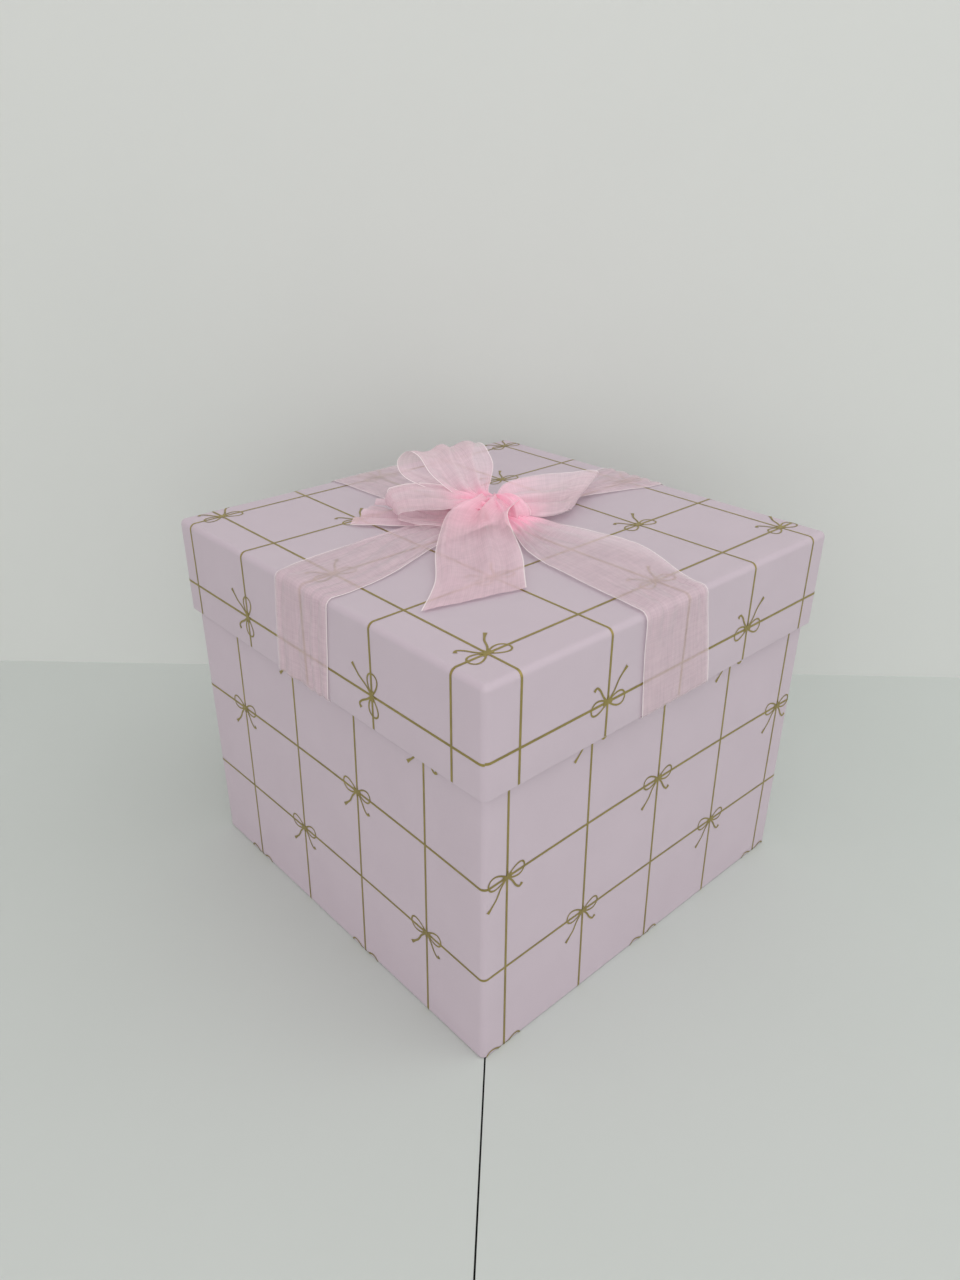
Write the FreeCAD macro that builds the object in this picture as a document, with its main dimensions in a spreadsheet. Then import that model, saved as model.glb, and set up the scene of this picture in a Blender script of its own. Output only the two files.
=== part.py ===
import FreeCAD, Part
import math
import os
import Sketcher
from FreeCAD import Placement, Rotation, Vector

# Square gift box with a lift-off lid: greyboard panels wrapped in patterned paper, and an
# organza ribbon over the lid. Millimetres. Origin at the centre of the underside, +Z up.
# Front is -Y and left is -X. Paper thicknesses are those of the glued sheets.

SIZES = {
    "boxHeight": 175.0,     # underside of the base to the top of the closed lid
    "lidSide": 208.0,       # outside of the wrapped lid
    "lidRimDepth": 45.0,    # height of the lid's rim
    "lidGap": 0.6,          # air between the lid's inner face and the base, each side
    "lidTopBoard": 2.8,     # thickness of the board in the lid's top
    "lidRimBoard": 1.4,     # thickness of the boards in the lid's rim
    "lidCorner": 2.9,       # outside radius of the lid's upright corners
    "lidEdge": 2.3,         # rounding of the top board's upper edge
    "edgeFlat": 0.1,        # least that a rounding leaves of the board's side and corner
    "lidTurnIn": 20.0,      # wrap paper that turns up inside the rim
    "baseBoard": 2.0,       # thickness of the base's walls and floor
    "baseCorner": 2.4,      # outside radius of the base's upright corners
    "baseTurnIn": 18.0,     # wrap paper that turns down inside the base
    "baseUnderlap": 15.0,   # wrap paper that turns in under the base
    "wallBow": 3.0,         # inward bow of each base wall at its upper edge
    "insideCorner": 0.6,    # radius inside the board corners
    "floorFit": 0.1,        # play around the base's floor board
    "wrapPaper": 0.2,
    "linerPaper": 0.2,
    "footPaper": 0.2,
    "footMargin": 3.0,      # bare border around the sheet under the base
    "stayTape": 0.1,        # gummed paper tape that holds the board corners together
    "stayLeg": 25.0,        # width of the tape on each side of a corner
    "ribbonWidth": 40.0,
    "ribbonSheet": 0.25,    # thickness that the ribbon's solid is given
    "ribbonTuck": 12.0,     # ribbon glued up inside the rim
    "knotRadius": 10.0,
    "knotHeight": 12.0,
    "lobeRoot": 3.5,        # half width of each loop and tail where it leaves the knot
}

# Loops and tails of the bow: direction, reach from the knot's axis, half width and sideways
# drift at the far end, and lower and upper face at the knot and at the far end, both from
# the top of the ribbon bands.
LOBES = {
    "bow_loop_back": (90.0, 48.0, 17.0, 0.0, (4.0, 12.0), (12.0, 34.0)),
    "bow_loop_left": (135.0, 46.0, 15.0, 0.0, (3.0, 10.0), (3.0, 16.0)),
    "bow_loop_right": (0.0, 66.0, 14.0, 8.0, (2.0, 11.0), (1.0, 13.0)),
    "bow_tail_front": (225.0, 88.0, 20.0, 6.0, (0.0, 8.0), (0.0, 3.0)),
    "bow_tail_left": (135.0, 66.0, 4.0, 0.0, (0.0, 2.0), (0.0, 1.5)),
}

KNOT_SIDES = 8
QUADRANTS = {"front": 225.0, "right": 315.0, "back": 45.0, "left": 135.0}
OVERRUN = 1.0   # how far a cutting solid runs past what it cuts

doc = FreeCAD.newDocument("GiftBox")
sheet = doc.addObject("Spreadsheet::Sheet", "Sizes")
for row, (alias, value) in enumerate(SIZES.items(), start=1):
    sheet.set("A%d" % row, alias)
    sheet.set("B%d" % row, str(value))
    sheet.setAlias("B%d" % row, alias)
doc.recompute()

# Expressions for the planes and faces that several pieces share.
lidHalf = "Sizes.lidSide / 2"
lidWall = "(Sizes.lidRimBoard + Sizes.stayTape + 2 * Sizes.wrapPaper)"
lidInside = "(%s - %s)" % (lidHalf, lidWall)
baseHalf = "(%s - Sizes.lidGap)" % lidInside
lidTop = "Sizes.boxHeight"
rimBottom = "(Sizes.boxHeight - Sizes.lidRimDepth)"
topBoardUnder = "(Sizes.boxHeight - Sizes.wrapPaper - Sizes.lidTopBoard)"
baseTop = "(%s - Sizes.linerPaper)" % topBoardUnder
boardFoot = "(Sizes.footPaper + Sizes.wrapPaper)"
floorTop = "(%s + Sizes.baseBoard)" % boardFoot
edgeRound = ("min(Sizes.lidEdge; Sizes.lidTopBoard - Sizes.edgeFlat;"
             " Sizes.lidCorner - Sizes.stayTape - Sizes.wrapPaper - Sizes.edgeFlat)")
bandTop = "(Sizes.boxHeight + 2 * Sizes.ribbonSheet)"


def number(expression):
    value = sheet.evalExpression(expression)
    return float(getattr(value, "Value", value))


def bind(item, settings):
    for name, expression in settings.items():
        item.setExpression(name, expression)


def origin_plane(body, role):
    return next(o for o in body.Origin.OriginFeatures if o.Role == role)


def add_sketch(body, name, role, offset):
    sketch = body.newObject("Sketcher::SketchObject", name)
    sketch.AttachmentSupport = [(origin_plane(body, role), "")]
    sketch.MapMode = "FlatFace"
    bind(sketch, {"AttachmentOffset.Base.z": offset})
    return sketch


def sign(value):
    return (value > 0) - (value < 0)


def along(coordinate, step, radius):
    return coordinate if step == 0 else "(%s) %s %s" % (coordinate, "+-"[step < 0], radius)


def fix_point(sketch, index, position, point):
    for kind, expression in zip(("DistanceX", "DistanceY"), point):
        constraint = Sketcher.Constraint(kind, index, position, number(expression))
        sketch.setExpression("Constraints[%d]" % sketch.addConstraint(constraint), expression)


def fix_radius(sketch, index, radius):
    constraint = Sketcher.Constraint("Radius", index, number(radius))
    sketch.setExpression("Constraints[%d]" % sketch.addConstraint(constraint), radius)


# An arc through three points, anticlockwise as a sketch keeps it.
def turning_left(start, middle, end):
    clockwise = (middle - start).cross(end - middle).z < 0
    return Part.Arc(end, middle, start) if clockwise else Part.Arc(start, middle, end)


# Draws a closed outline whose sides run along the sketch's axes. Each corner is (x, y, radius),
# as expressions, and a radius of None is a sharp corner. A bow turns each side into an arc.
def draw_outline(sketch, corners, bow=None):
    count = len(corners)
    spots = [Vector(number(x), number(y), 0) for x, y, radius in corners]
    entries = []
    exits = []
    for k, (x, y, radius) in enumerate(corners):
        if radius is None:
            entries.append((x, y))
            exits.append((x, y))
            continue
        back = spots[k - 1] - spots[k]
        ahead = spots[(k + 1) % count] - spots[k]
        entries.append((along(x, sign(back.x), radius), along(y, sign(back.y), radius)))
        exits.append((along(x, sign(ahead.x), radius), along(y, sign(ahead.y), radius)))
    for k in range(count):
        nxt = (k + 1) % count
        start = Vector(number(exits[k][0]), number(exits[k][1]), 0)
        end = Vector(number(entries[nxt][0]), number(entries[nxt][1]), 0)
        if bow is None:
            side = sketch.addGeometry(Part.LineSegment(start, end))
        else:
            inward = -(start + end).normalize()
            middle = (start + end) / 2 + inward * number(bow)
            side = sketch.addGeometry(turning_left(start, middle, end))
        drawn = sketch.Geometry[side]
        first = 1 if drawn.StartPoint.distanceToPoint(start) < 1e-6 else 2
        fix_point(sketch, side, first, exits[k])
        fix_point(sketch, side, 3 - first, entries[nxt])
        if bow is not None:
            chord = "(abs(%s - (%s)) + abs(%s - (%s)))" % (exits[k][0], entries[nxt][0],
                                                           exits[k][1], entries[nxt][1])
            fix_radius(sketch, side, "((%s)^2 / 4 + (%s)^2) / (2 * %s)" % (chord, bow, bow))
    for k, (x, y, radius) in enumerate(corners):
        if radius is None:
            continue
        draw_corner(sketch, spots[k], entries[k], exits[k], radius)


def draw_corner(sketch, spot, entry, leave, radius):
    start = Vector(number(entry[0]), number(entry[1]), 0)
    end = Vector(number(leave[0]), number(leave[1]), 0)
    centre = start + end - spot
    middle = centre + (spot - centre).normalize() * number(radius)
    index = sketch.addGeometry(turning_left(start, middle, end))
    first = 1 if sketch.Geometry[index].StartPoint.distanceToPoint(start) < 1e-6 else 2
    fix_point(sketch, index, first, entry)
    fix_point(sketch, index, 3 - first, leave)
    fix_radius(sketch, index, radius)


# A square centred on the origin with rounded corners.
def square(half, radius):
    low = "-(%s)" % half
    return [(low, low, radius), (half, low, radius), (half, half, radius), (low, half, radius)]


def padded(name, outlines, role, offset, length):
    body = doc.addObject("PartDesign::Body", name)
    sketch = add_sketch(body, name + "_outline", role, offset)
    for corners in outlines:
        draw_outline(sketch, corners)
    pad = body.newObject("PartDesign::Pad", name + "_pad")
    pad.Profile = sketch
    bind(pad, {"Length": length})
    sketch.Visibility = False
    doc.recompute()
    return body


def round_top(body, top, radius):
    pad = body.Tip
    height = number(top)
    edges = ["Edge%d" % (k + 1) for k, edge in enumerate(pad.Shape.Edges)
             if abs(edge.BoundBox.ZMin - height) < 1e-4]
    fillet = body.newObject("PartDesign::Fillet", body.Name + "_edge")
    fillet.Base = (pad, edges)
    bind(fillet, {"Radius": radius})
    doc.recompute()


# A tube around the base: straight sides at the underside, bowed inwards at the upper edge.
def bowed_tube(name, outer, inner):
    body = doc.addObject("PartDesign::Body", name)
    levels = []
    for label, offset, bow in (("foot", "0", None), ("rim", baseTop, "Sizes.wallBow")):
        sketch = add_sketch(body, "%s_%s" % (name, label), "XY_Plane", offset)
        draw_outline(sketch, square(*outer), bow)
        draw_outline(sketch, square(*inner), bow)
        levels.append(sketch)
    loft = body.newObject("PartDesign::AdditiveLoft", name + "_loft")
    loft.Profile = levels[0]
    loft.Sections = levels[1:]
    loft.Ruled = True
    doc.recompute()
    return body


def box(name, low, high):
    block = doc.addObject("Part::Box", name)
    for axis, size, start, end in zip("xyz", ("Length", "Width", "Height"), low, high):
        bind(block, {size: "(%s) - (%s)" % (end, start), "Placement.Base." + axis: start})
    return block


def slab(name, low, high):
    reach = "Sizes.lidSide"
    return box(name, ("-" + reach, "-" + reach, low), (reach, reach, high))


# A block over one quarter of the plan, mitred on the diagonals.
def quadrant(name, turn, low, high):
    block = box(name, ("0", "0", low), ("Sizes.lidSide", "Sizes.lidSide", high))
    block.Placement = Placement(block.Placement.Base, Rotation(Vector(0, 0, 1), turn))
    bind(block, {"Placement.Base.z": low})
    return block


def corner_blocks(name, half, low, high):
    blocks = []
    near = "(%s - Sizes.stayLeg)" % half
    far = "(%s + %g)" % (half, OVERRUN)
    for x in (-1, 1):
        for y in (-1, 1):
            xs = (near, far) if x > 0 else ("-" + far, "-" + near)
            ys = (near, far) if y > 0 else ("-" + far, "-" + near)
            label = "%s_%s%s" % (name, "left" if x < 0 else "right", "_front" if y < 0 else "_back")
            blocks.append(box(label, (xs[0], ys[0], low), (xs[1], ys[1], high)))
    return joined(name, blocks)


def joined(name, shapes):
    union = doc.addObject("Part::MultiFuse", name)
    union.Shapes = shapes
    return union


def shared(name, base, tool):
    common = doc.addObject("Part::Common", name)
    common.Base = base
    common.Tool = tool
    return common


def cut(name, base, tool):
    difference = doc.addObject("Part::Cut", name)
    difference.Base = base
    difference.Tool = tool
    return difference


# Nested faces of the base's wall, from the outside in: half width and corner radius.
baseSkin = (baseHalf, "Sizes.baseCorner")
baseTape = ("(%s - Sizes.wrapPaper)" % baseHalf, "(Sizes.baseCorner - Sizes.wrapPaper)")
baseOuter = ("(%s - Sizes.stayTape)" % baseTape[0], "(Sizes.baseCorner - Sizes.wrapPaper - Sizes.stayTape)")
baseInner = ("(%s - Sizes.baseBoard)" % baseOuter[0], "Sizes.insideCorner")
baseHollow = ("(%s - Sizes.linerPaper)" % baseInner[0], "(Sizes.insideCorner - Sizes.linerPaper)")

# The same for the lid's rim.
lidSkin = (lidHalf, "Sizes.lidCorner")
lidTape = ("(%s - Sizes.wrapPaper)" % lidHalf, "(Sizes.lidCorner - Sizes.wrapPaper)")
lidOuter = ("(%s - Sizes.stayTape)" % lidTape[0], "(Sizes.lidCorner - Sizes.wrapPaper - Sizes.stayTape)")
lidInner = ("(%s - Sizes.lidRimBoard)" % lidOuter[0], "Sizes.insideCorner")
lidHollow = (lidInside, "(Sizes.insideCorner - Sizes.wrapPaper)")


def make_base():
    skin = bowed_tube("base_skin_tube", baseSkin, baseTape)
    tape = bowed_tube("base_tape_tube", baseTape, baseOuter)
    board = bowed_tube("base_board_tube", baseOuter, baseInner)
    lining = bowed_tube("base_lining_tube", baseInner, baseHollow)

    boardTop = "(%s - Sizes.wrapPaper)" % baseTop
    for side, turn in QUADRANTS.items():
        region = quadrant("base_quarter_" + side, turn, boardFoot, boardTop)
        shared("base_wall_" + side, board, region)

    turnEnd = "(%s - Sizes.baseTurnIn)" % baseTop
    under = ("(%s - Sizes.baseUnderlap)" % baseHalf, "Sizes.insideCorner")
    shared("base_corner_stays", tape, corner_blocks("base_stay_corners", baseHalf, boardFoot, boardTop))
    joined("base_wrap", [
        shared("base_wrap_skin", skin, slab("base_skin_level", "Sizes.footPaper", baseTop)),
        shared("base_wrap_lip", joined("base_lip_tube", [tape, board]),
               slab("base_lip_level", boardTop, baseTop)),
        shared("base_wrap_turn", lining, slab("base_turn_level", turnEnd, baseTop)),
        padded("base_wrap_underlap", [square(*baseTape), square(*under)], "XY_Plane",
               "Sizes.footPaper", "Sizes.wrapPaper"),
    ])
    shared("base_wall_liner", lining, slab("base_liner_level", floorTop, turnEnd))

    floor = ("(%s - Sizes.floorFit)" % baseInner[0], "Sizes.insideCorner")
    padded("base_floor_board", [square(*floor)], "XY_Plane", boardFoot, "Sizes.baseBoard")
    bed = ("(%s - Sizes.floorFit)" % baseHollow[0], "Sizes.insideCorner")
    padded("base_floor_liner", [square(*bed)], "XY_Plane", floorTop, "Sizes.linerPaper")
    foot = ("(%s - Sizes.footMargin)" % baseHalf, "Sizes.baseCorner")
    padded("base_foot_sheet", [square(*foot)], "XY_Plane", "0", "Sizes.footPaper")


def make_lid():
    boardFootZ = "(%s + Sizes.wrapPaper)" % rimBottom
    rimBoards = padded("lid_rim_tube", [square(*lidOuter), square(*lidInner)], "XY_Plane",
                       boardFootZ, "%s - %s" % (topBoardUnder, boardFootZ))
    for side, turn in QUADRANTS.items():
        region = quadrant("lid_quarter_" + side, turn, boardFootZ, topBoardUnder)
        shared("lid_rim_" + side, rimBoards, region)
    tapes = padded("lid_tape_tube", [square(*lidTape), square(*lidOuter)], "XY_Plane",
                   boardFootZ, "%s - %s" % (topBoardUnder, boardFootZ))
    shared("lid_corner_stays", tapes, corner_blocks("lid_stay_corners", lidHalf, boardFootZ, topBoardUnder))

    topBoard = padded("lid_top_board", [square(*lidOuter)], "XY_Plane", topBoardUnder, "Sizes.lidTopBoard")
    round_top(topBoard, "%s + Sizes.lidTopBoard" % topBoardUnder, edgeRound)

    shell = padded("lid_wrap_block", [square(*lidSkin)], "XY_Plane", rimBottom, "Sizes.lidRimDepth")
    round_top(shell, lidTop, "%s + Sizes.stayTape + Sizes.wrapPaper" % edgeRound)
    cavity = padded("lid_wrap_cavity", [square(*lidTape)], "XY_Plane", "%s - %g" % (rimBottom, OVERRUN),
                    "Sizes.lidRimDepth - Sizes.wrapPaper + %g" % OVERRUN)
    round_top(cavity, "%s - Sizes.wrapPaper" % lidTop, "%s + Sizes.stayTape" % edgeRound)
    joined("lid_wrap", [
        cut("lid_wrap_skin", shell, cavity),
        padded("lid_wrap_lip", [square(*lidTape), square(*lidInner)], "XY_Plane",
               rimBottom, "Sizes.wrapPaper"),
        padded("lid_wrap_turn", [square(*lidInner), square(*lidHollow)], "XY_Plane",
               rimBottom, "Sizes.lidTurnIn"),
    ])
    turnEnd = "(%s + Sizes.lidTurnIn)" % rimBottom
    padded("lid_rim_liner", [square(*lidInner), square(*lidHollow)], "XY_Plane",
           turnEnd, "%s - %s" % (baseTop, turnEnd))
    padded("lid_top_liner", [square(*lidInner)], "XY_Plane", baseTop, "Sizes.linerPaper")


# Outline of a band that runs over the lid, under the rim and a little way up inside it.
def band_outline(lift):
    side = lidHalf
    proud = "(%s + Sizes.ribbonSheet)" % lidHalf
    tucked = "(%s - Sizes.ribbonSheet)" % lidInside
    foot = "(%s - Sizes.ribbonSheet)" % rimBottom
    end = "(%s + Sizes.ribbonTuck)" % rimBottom
    under = "(%s + %s)" % (lidTop, lift)
    over = "(%s + Sizes.ribbonSheet)" % under
    bend = "(%s + Sizes.stayTape + Sizes.wrapPaper)" % edgeRound
    outerBend = "(%s + Sizes.ribbonSheet)" % bend
    half = [(proud, foot, None), (proud, over, outerBend)]
    inner = [(side, under, bend), (side, rimBottom, None), (lidInside, rimBottom, None),
             (lidInside, end, None), (tucked, end, None), (tucked, foot, None)]
    left = [("-" + x, z, bending) for x, z, bending in inner]
    outerLeft = [("-" + x, z, bending) for x, z, bending in half]
    return half + outerLeft[::-1] + left[::-1] + inner


def make_ribbon():
    start = "-Sizes.ribbonWidth / 2"
    padded("ribbon_band_x", [band_outline("0")], "XZ_Plane", start, "Sizes.ribbonWidth")
    padded("ribbon_band_y", [band_outline("Sizes.ribbonSheet")], "YZ_Plane", start, "Sizes.ribbonWidth")

    knot = doc.addObject("Part::Prism", "bow_knot")
    knot.Polygon = KNOT_SIDES
    halfFacet = 180.0 / KNOT_SIDES
    knot.Placement = Placement(Vector(), Rotation(Vector(0, 0, 1), halfFacet))
    bind(knot, {"Circumradius": "Sizes.knotRadius", "Height": "Sizes.knotHeight",
                "Placement.Base.z": bandTop})

    facet = "Sizes.knotRadius * %r" % math.cos(math.radians(halfFacet))
    for name, (turn, reach, halfWidth, drift, root, tip) in LOBES.items():
        lobe = doc.addObject("Part::Wedge", name)
        bind(lobe, {"Ymin": facet, "Ymax": "%g" % reach,
                    "Xmin": "-Sizes.lobeRoot", "Xmax": "Sizes.lobeRoot",
                    "X2min": "%g" % (drift - halfWidth), "X2max": "%g" % (drift + halfWidth),
                    "Zmin": "%g" % root[0], "Zmax": "%g" % root[1],
                    "Z2min": "%g" % tip[0], "Z2max": "%g" % tip[1]})
        lobe.Placement = Placement(Vector(), Rotation(Vector(0, 0, 1), turn - 90))
        bind(lobe, {"Placement.Base.z": bandTop})


NODES = (["base_wall_" + side for side in QUADRANTS]
         + ["base_corner_stays", "base_wrap", "base_wall_liner", "base_floor_board",
            "base_floor_liner", "base_foot_sheet"]
         + ["lid_rim_" + side for side in QUADRANTS]
         + ["lid_corner_stays", "lid_top_board", "lid_wrap", "lid_rim_liner", "lid_top_liner",
            "ribbon_band_x", "ribbon_band_y", "bow_knot"]
         + list(LOBES))

make_base()
make_lid()
make_ribbon()
doc.recompute()

for item in doc.Objects:
    if "Invalid" in item.State or "Error" in item.State:
        raise RuntimeError("%s did not build: %s" % (item.Label, item.State))
os.makedirs("parts", exist_ok=True)
parts = {name: doc.getObject(name).Shape for name in NODES}
for name, shape in parts.items():
    if shape.isNull() or not shape.isValid() or not shape.Solids:
        raise RuntimeError("%s has no valid solid" % name)
for name, shape in parts.items():
    shape.exportStep("parts/%s.step" % name)
print("%d sub-parts written" % len(parts))
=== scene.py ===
import math
import bmesh
import bpy
from mathutils import Matrix, Vector, noise


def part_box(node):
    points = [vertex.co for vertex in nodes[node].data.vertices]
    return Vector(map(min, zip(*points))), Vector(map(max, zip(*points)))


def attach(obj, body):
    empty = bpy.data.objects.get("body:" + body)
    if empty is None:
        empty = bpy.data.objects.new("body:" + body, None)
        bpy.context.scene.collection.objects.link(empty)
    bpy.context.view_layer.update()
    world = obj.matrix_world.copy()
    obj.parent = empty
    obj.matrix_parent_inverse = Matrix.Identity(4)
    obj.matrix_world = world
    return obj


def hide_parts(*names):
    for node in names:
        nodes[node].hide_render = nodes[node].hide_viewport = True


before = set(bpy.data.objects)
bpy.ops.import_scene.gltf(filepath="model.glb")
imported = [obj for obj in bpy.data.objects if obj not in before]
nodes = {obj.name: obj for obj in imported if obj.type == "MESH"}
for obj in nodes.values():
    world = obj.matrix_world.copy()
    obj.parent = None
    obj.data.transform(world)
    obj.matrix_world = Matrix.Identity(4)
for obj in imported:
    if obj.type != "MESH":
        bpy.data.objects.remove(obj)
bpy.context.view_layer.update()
mm = 0.001

# the box's main faces, read from the CAD frame, in metres
lidLow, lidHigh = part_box("lid_wrap")
baseLow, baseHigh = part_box("base_wrap")
lidHalf, lidTop, rimBottom = lidHigh.x, lidHigh.z, lidLow.z
baseHalf, baseTop, baseFoot = baseHigh.x, baseHigh.z, baseLow.z

boxShape = {
    "lidCorner": 2.9, "lidEdge": 2.6, "baseCorner": 2.4,    # outside radii
    "wallBow": 3.0,          # how far each base wall leans in at its upper edge
    "lidWall": 1.9, "baseWall": 2.5, "paper": 0.2,
    "lidTurnIn": 20.0, "baseTurnIn": 18.0, "underlap": 15.0,
    "lipRound": 0.45,        # softness of the paper's folded edges
    "sharpest": 0.35,        # least radius of an inside corner
    "sideSteps": 28, "cornerSteps": 6,
    "edgePast": 1.2,         # where the flat parts start beside the lid's edge, in edge radii
    "topRing": 0.96,         # where the last ring of the lid's top runs, as a share of its half side
}


# ---- small helpers

def hexColour(code, alpha=1.0):
    parts = [int(code[k:k + 2], 16) / 255 for k in (1, 3, 5)]
    return [p / 12.92 if p <= 0.04045 else ((p + 0.055) / 1.055) ** 2.4 for p in parts] + [alpha]


def addNode(tree, kind, inputs=None, **settings):
    node = tree.nodes.new(kind)
    for key, value in settings.items():
        setattr(node, key, value)
    for key, value in (inputs or {}).items():
        if isinstance(value, bpy.types.NodeSocket):
            tree.links.new(value, node.inputs[key])
        else:
            node.inputs[key].default_value = value
    return node


def smoothStep(low, high, value):
    t = min(max((value - low) / (high - low), 0.0), 1.0)
    return t * t * (3 - 2 * t)


def newPiece(name, vertices, faces, material, smooth=True):
    mesh = bpy.data.meshes.new(name)
    mesh.from_pydata([tuple(v) for v in vertices], [], faces)
    mesh.polygons.foreach_set("use_smooth", [smooth] * len(mesh.polygons))
    mesh.materials.append(material)
    mesh.update()
    piece = bpy.data.objects.new(name, mesh)
    bpy.context.scene.collection.objects.link(piece)
    return piece


def turnFacesOut(piece):
    work = bmesh.new()
    work.from_mesh(piece.data)
    bmesh.ops.recalc_face_normals(work, faces=work.faces)
    work.to_mesh(piece.data)
    work.free()


def applyModifiers(piece):
    bpy.context.view_layer.update()
    solid = piece.evaluated_get(bpy.context.evaluated_depsgraph_get())
    mesh = bpy.data.meshes.new_from_object(solid)
    mesh.name = piece.name
    piece.modifiers.clear()
    piece.data = mesh
    return piece


# ---- materials

def newMaterial(name):
    material = bpy.data.materials.new(name)
    material.use_nodes = True
    tree = material.node_tree
    tree.nodes.clear()
    return material, tree


# How often a pattern of a real size repeats in a metre.
def perMetre(sizeMm):
    return 1 / (sizeMm * mm)


# Soft-touch laminated art paper, glued on board: smooth and nearly matt, with a faint cloudiness
# of the print and very shallow waves where the board shows through.
def laminatedPaper():
    look = {"colour": "#cebfca", "shade": "#c7b8c3", "roughness": 0.46, "cloudMm": 26.0,
            "fibreMm": 1.1, "waveMm": 42.0, "fibreDepthMm": 0.012, "waveDepthMm": 0.25,
            "smoother": 0.05, "rougher": 0.07, "ior": 1.48, "sheen": 0.08}
    material, tree = newMaterial("laminatedPaper")
    place = addNode(tree, "ShaderNodeTexCoord").outputs["Object"]
    cloud = addNode(tree, "ShaderNodeTexNoise", {
        "Vector": place, "Scale": perMetre(look["cloudMm"]), "Detail": 3.0})
    colour = addNode(tree, "ShaderNodeMix", {
        "Factor": cloud.outputs["Fac"], 6: hexColour(look["colour"]), 7: hexColour(look["shade"])},
        data_type="RGBA")
    fibre = addNode(tree, "ShaderNodeTexNoise", {
        "Vector": place, "Scale": perMetre(look["fibreMm"]), "Detail": 4.0, "Roughness": 0.6})
    wave = addNode(tree, "ShaderNodeTexNoise", {
        "Vector": place, "Scale": perMetre(look["waveMm"]), "Detail": 1.0})
    fine = addNode(tree, "ShaderNodeBump", {
        "Height": fibre.outputs["Fac"], "Distance": look["fibreDepthMm"] * mm, "Strength": 1.0})
    broad = addNode(tree, "ShaderNodeBump", {
        "Height": wave.outputs["Fac"], "Distance": look["waveDepthMm"] * mm, "Strength": 1.0,
        "Normal": fine.outputs["Normal"]})
    rough = addNode(tree, "ShaderNodeMapRange", {
        "Value": fibre.outputs["Fac"], "To Min": look["roughness"] - look["smoother"],
        "To Max": look["roughness"] + look["rougher"]})
    shader = addNode(tree, "ShaderNodeBsdfPrincipled", {
        "Base Color": colour.outputs[2], "Roughness": rough.outputs[0],
        "Normal": broad.outputs["Normal"], "IOR": look["ior"], "Sheen Weight": look["sheen"]})
    addNode(tree, "ShaderNodeOutputMaterial", {"Surface": shader.outputs[0]})
    return material


# Hot-stamped gold foil: a bright metal film a little dulled by the paper's tooth.
def goldFoil():
    look = {"colour": "#bfab68", "dull": "#96875a", "toothMm": 0.9, "depthMm": 0.01, "wearMm": 7.0,
            "smoothest": 0.26, "roughest": 0.42}
    material, tree = newMaterial("goldFoil")
    place = addNode(tree, "ShaderNodeTexCoord").outputs["Object"]
    tooth = addNode(tree, "ShaderNodeTexNoise", {
        "Vector": place, "Scale": perMetre(look["toothMm"]), "Detail": 3.0})
    wear = addNode(tree, "ShaderNodeTexNoise", {
        "Vector": place, "Scale": perMetre(look["wearMm"]), "Detail": 3.0})
    colour = addNode(tree, "ShaderNodeMix", {
        "Factor": wear.outputs["Fac"], 6: hexColour(look["colour"]), 7: hexColour(look["dull"])},
        data_type="RGBA")
    rough = addNode(tree, "ShaderNodeMapRange", {
        "Value": tooth.outputs["Fac"], "To Min": look["smoothest"], "To Max": look["roughest"]})
    bump = addNode(tree, "ShaderNodeBump", {
        "Height": tooth.outputs["Fac"], "Distance": look["depthMm"] * mm, "Strength": 1.0})
    shader = addNode(tree, "ShaderNodeBsdfPrincipled", {
        "Base Color": colour.outputs[2], "Metallic": 1.0, "Roughness": rough.outputs[0],
        "Normal": bump.outputs["Normal"]})
    addNode(tree, "ShaderNodeOutputMaterial", {"Surface": shader.outputs[0]})
    return material


# Recycled greyboard: dull grey-brown pulp with darker specks and a felted surface.
def greyboard():
    look = {"colour": "#a39b8e", "speck": "#7f776c", "pulpMm": 0.8, "depthMm": 0.05, "speckMm": 1.6,
            "speckFrom": 0.58, "speckTo": 0.72, "roughness": 0.88}
    material, tree = newMaterial("greyboard")
    place = addNode(tree, "ShaderNodeTexCoord").outputs["Object"]
    pulp = addNode(tree, "ShaderNodeTexNoise", {
        "Vector": place, "Scale": perMetre(look["pulpMm"]), "Detail": 5.0, "Roughness": 0.7})
    grain = addNode(tree, "ShaderNodeTexNoise", {"Vector": place, "Scale": perMetre(look["speckMm"])})
    speck = addNode(tree, "ShaderNodeMapRange", {
        "Value": grain.outputs["Fac"], "From Min": look["speckFrom"], "From Max": look["speckTo"]})
    colour = addNode(tree, "ShaderNodeMix", {
        "Factor": speck.outputs[0], 6: hexColour(look["colour"]), 7: hexColour(look["speck"])},
        data_type="RGBA")
    bump = addNode(tree, "ShaderNodeBump", {
        "Height": pulp.outputs["Fac"], "Distance": look["depthMm"] * mm, "Strength": 1.0})
    shader = addNode(tree, "ShaderNodeBsdfPrincipled", {
        "Base Color": colour.outputs[2], "Roughness": look["roughness"],
        "Normal": bump.outputs["Normal"]})
    addNode(tree, "ShaderNodeOutputMaterial", {"Surface": shader.outputs[0]})
    return material


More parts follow.
